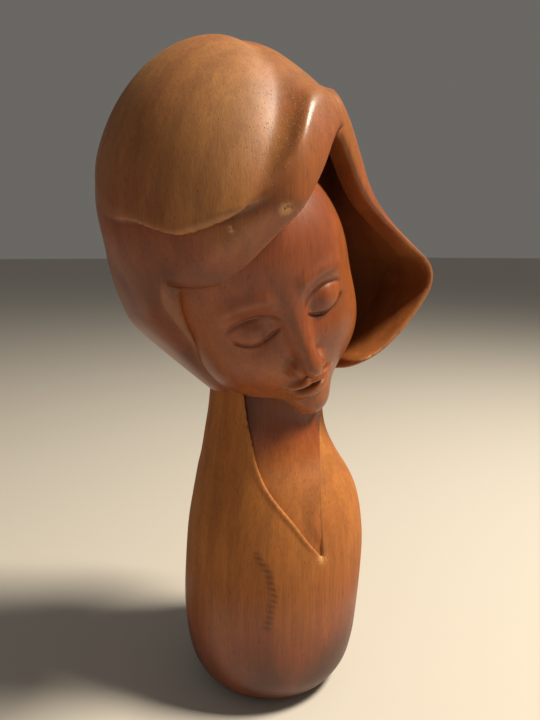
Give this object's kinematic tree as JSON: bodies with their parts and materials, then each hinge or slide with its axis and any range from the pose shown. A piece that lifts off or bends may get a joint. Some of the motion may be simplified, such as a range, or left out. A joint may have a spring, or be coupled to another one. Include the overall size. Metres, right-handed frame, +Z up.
{
  "type": "carved wooden bust",
  "caption": "Tabletop carved wooden bust: egg-shaped robe with a V neckline, long neck, and a tilted head with lowered lids under a bell of swept hair.",
  "frame": {"origin": "centre of the flat foot, on the surface that the bust stands on", "axes": "+Z up; the robe's front and neckline face -Y; the bust's own left side is towards +X"},
  "size_m": [0.1568, 0.1183, 0.3121],
  "materials": {
    "robe_wood": "satin oil and wax, golden tan, upright grain",
    "skin_wood": "satin wax, handled to a soft gloss, red-brown",
    "hair_wood": "matt tan crown, glossier red-brown band"
  },
  "bodies": {
    "root": {"torso": "robe_wood", "neck": "skin_wood", "head": "skin_wood", "hair": "hair_wood"}
  },
  "joints": []
}
